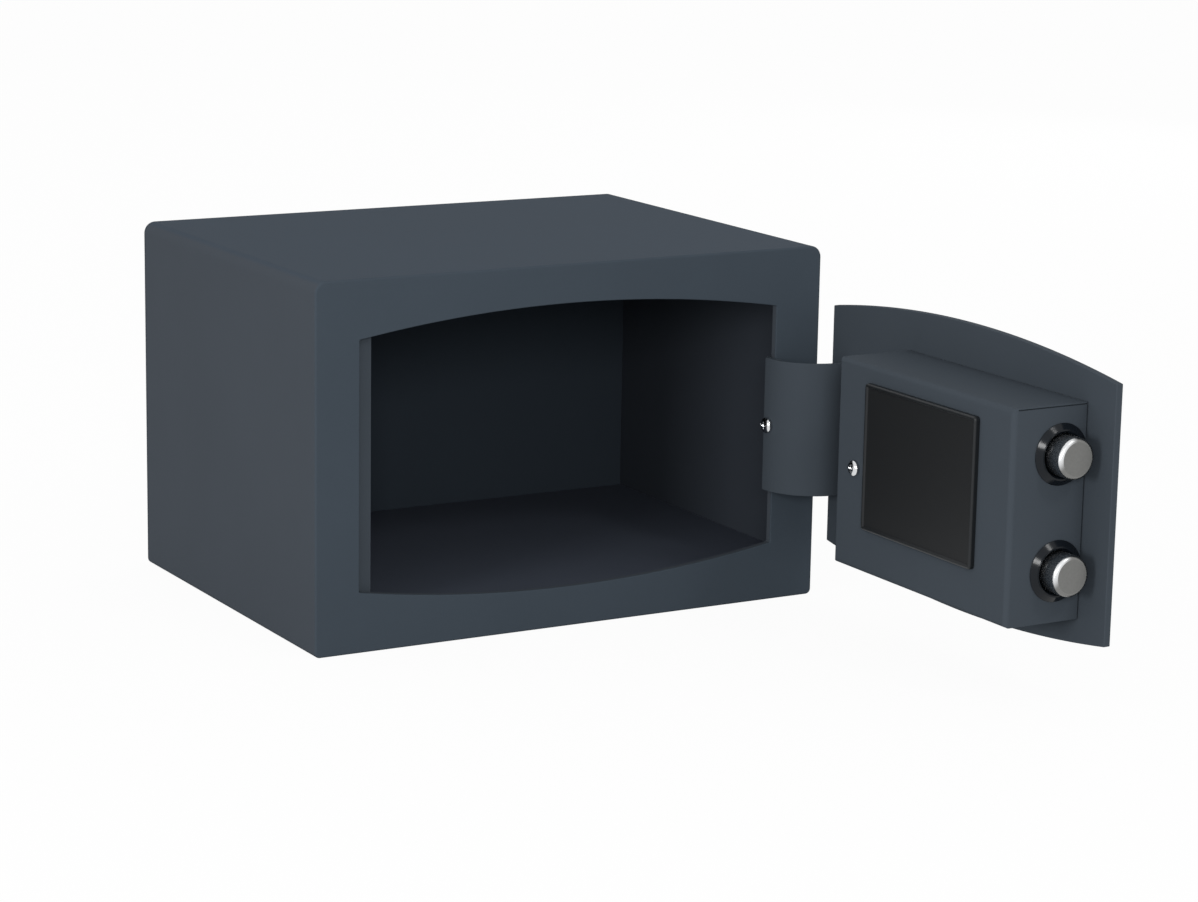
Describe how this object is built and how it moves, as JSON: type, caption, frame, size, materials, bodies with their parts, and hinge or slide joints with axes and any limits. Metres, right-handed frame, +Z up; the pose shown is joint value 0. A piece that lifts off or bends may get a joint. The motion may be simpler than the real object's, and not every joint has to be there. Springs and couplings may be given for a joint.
{
  "type": "portable car safe",
  "caption": "Small sheet-steel safe with a barrel-shaped hinged door, gooseneck hinge strap, twin round bolts, keypad lock and battery compartment.",
  "frame": {"origin": "centre of the underside of the body, on the surface it stands on", "axes": "+X to the right across the front, +Y from the front to the back, +Z up; the open door points along -Y"},
  "size_m": [0.3506, 0.4909, 0.2],
  "materials": {
    "shell_coat": "satin anthracite powder coat",
    "lining_coat": "satin anthracite powder coat",
    "zinc_plate": "zinc plated",
    "bolt_steel": "turned steel",
    "screw_chrome": "bright plated",
    "brass": "turned brass",
    "black_plastic": "satin moulded",
    "grey_plastic": "matt moulded",
    "key_plastic": "satin moulded",
    "cell_wrap": "plain printed sleeve",
    "board_green": "solder mask",
    "lens_red": "clear tinted"
  },
  "bodies": {
    "root": {"body_wrap": "shell_coat", "front_frame": "shell_coat", "back_panel": "shell_coat", "inner_floor": "lining_coat", "inner_back": "lining_coat", "door_stop": "shell_coat", "hinge_bracket_upper": "shell_coat", "hinge_bracket_lower": "shell_coat", "hinge_pin": "zinc_plate", "pin_clip": "zinc_plate"},
    "door": {"door_panel": "shell_coat", "hinge_strap": "shell_coat", "hinge_leaf": "shell_coat", "strap_screw": "screw_chrome", "lock_cover": "shell_coat", "cover_post": "zinc_plate", "cover_screw": "screw_chrome", "battery_tray": "grey_plastic", "battery_1": "cell_wrap", "battery_2": "cell_wrap", "battery_3": "cell_wrap", "battery_4": "cell_wrap", "battery_contact_left": "bolt_steel", "battery_contact_right": "bolt_steel", "bolt_bushing_lower": "black_plastic", "bolt_bushing_upper": "black_plastic", "bolt_guide": "zinc_plate", "guide_stud_lower": "zinc_plate", "guide_stud_upper": "zinc_plate", "spindle_bush": "brass", "solenoid_body": "grey_plastic", "solenoid_spring": "bolt_steel", "circuit_board": "board_green", "board_mount": "grey_plastic", "keypad_housing": "black_plastic", "status_lens": "lens_red", "keypad_board": "board_green", "key_cylinder": "screw_chrome"},
    "bolts": {"bolt_lower": "bolt_steel", "bolt_upper": "bolt_steel", "bolt_carrier": "zinc_plate"},
    "knob": {"knob": "black_plastic", "knob_spindle": "bolt_steel", "cam_disc": "zinc_plate"},
    "plunger": {"solenoid_plunger": "bolt_steel"},
    "lid": {"battery_lid": "black_plastic"},
    "cap": {"key_cap": "black_plastic"},
    "plug": {"key_plug": "brass"},
    "button_1": {"key_1": "key_plastic"},
    "button_2": {"key_2": "key_plastic"},
    "button_3": {"key_3": "key_plastic"},
    "button_4": {"key_4": "key_plastic"},
    "button_5": {"key_5": "key_plastic"},
    "button_6": {"key_6": "key_plastic"},
    "button_7": {"key_7": "key_plastic"},
    "button_8": {"key_8": "key_plastic"},
    "button_9": {"key_9": "key_plastic"},
    "button_clear": {"key_clear": "key_plastic"},
    "button_0": {"key_0": "key_plastic"},
    "button_enter": {"key_enter": "key_plastic"}
  },
  "joints": [
    {"name": "door_swing", "type": "hinge", "parent": "root", "child": "door", "pos_m": [0.1479, -0.1009, 0.1], "axis": [0, 0, 1], "range_deg": [-90, 0]},
    {"name": "bolt_slide", "type": "slide", "parent": "door", "child": "bolts", "axis": [0, -1, 0], "range_m": [0, 0.018]},
    {"name": "knob_turn", "type": "hinge", "parent": "door", "child": "knob", "pos_m": [0.17, -0.2658, 0.0848], "axis": [1, 0, 0], "range_deg": [0, 90]},
    {"name": "plunger_drop", "type": "slide", "parent": "door", "child": "plunger", "axis": [0, 0, -1], "range_m": [0, 0.004], "deforming": ["solenoid_spring"]},
    {"name": "lid_off", "type": "slide", "parent": "door", "child": "lid", "axis": [-1, 0, 0], "range_m": [0, 0.03]},
    {"name": "cap_off", "type": "slide", "parent": "door", "child": "cap", "axis": [1, 0, 0], "range_m": [0, 0.02]},
    {"name": "key_turn", "type": "hinge", "parent": "door", "child": "plug", "pos_m": [0.17, -0.2658, 0.1278], "axis": [1, 0, 0], "range_deg": [0, 90]},
    {"name": "press_1", "type": "slide", "parent": "door", "child": "button_1", "axis": [-1, 0, 0], "range_m": [0, 0.001], "stiffness_N_per_m": 250},
    {"name": "press_2", "type": "slide", "parent": "door", "child": "button_2", "axis": [-1, 0, 0], "range_m": [0, 0.001], "stiffness_N_per_m": 250},
    {"name": "press_3", "type": "slide", "parent": "door", "child": "button_3", "axis": [-1, 0, 0], "range_m": [0, 0.001], "stiffness_N_per_m": 250},
    {"name": "press_4", "type": "slide", "parent": "door", "child": "button_4", "axis": [-1, 0, 0], "range_m": [0, 0.001], "stiffness_N_per_m": 250},
    {"name": "press_5", "type": "slide", "parent": "door", "child": "button_5", "axis": [-1, 0, 0], "range_m": [0, 0.001], "stiffness_N_per_m": 250},
    {"name": "press_6", "type": "slide", "parent": "door", "child": "button_6", "axis": [-1, 0, 0], "range_m": [0, 0.001], "stiffness_N_per_m": 250},
    {"name": "press_7", "type": "slide", "parent": "door", "child": "button_7", "axis": [-1, 0, 0], "range_m": [0, 0.001], "stiffness_N_per_m": 250},
    {"name": "press_8", "type": "slide", "parent": "door", "child": "button_8", "axis": [-1, 0, 0], "range_m": [0, 0.001], "stiffness_N_per_m": 250},
    {"name": "press_9", "type": "slide", "parent": "door", "child": "button_9", "axis": [-1, 0, 0], "range_m": [0, 0.001], "stiffness_N_per_m": 250},
    {"name": "press_clear", "type": "slide", "parent": "door", "child": "button_clear", "axis": [-1, 0, 0], "range_m": [0, 0.001], "stiffness_N_per_m": 250},
    {"name": "press_0", "type": "slide", "parent": "door", "child": "button_0", "axis": [-1, 0, 0], "range_m": [0, 0.001], "stiffness_N_per_m": 250},
    {"name": "press_enter", "type": "slide", "parent": "door", "child": "button_enter", "axis": [-1, 0, 0], "range_m": [0, 0.001], "stiffness_N_per_m": 250}
  ],
  "couplings": [
    {"joint": "knob_turn", "follows": "bolt_slide", "rad_per_m": 87.26}
  ]
}
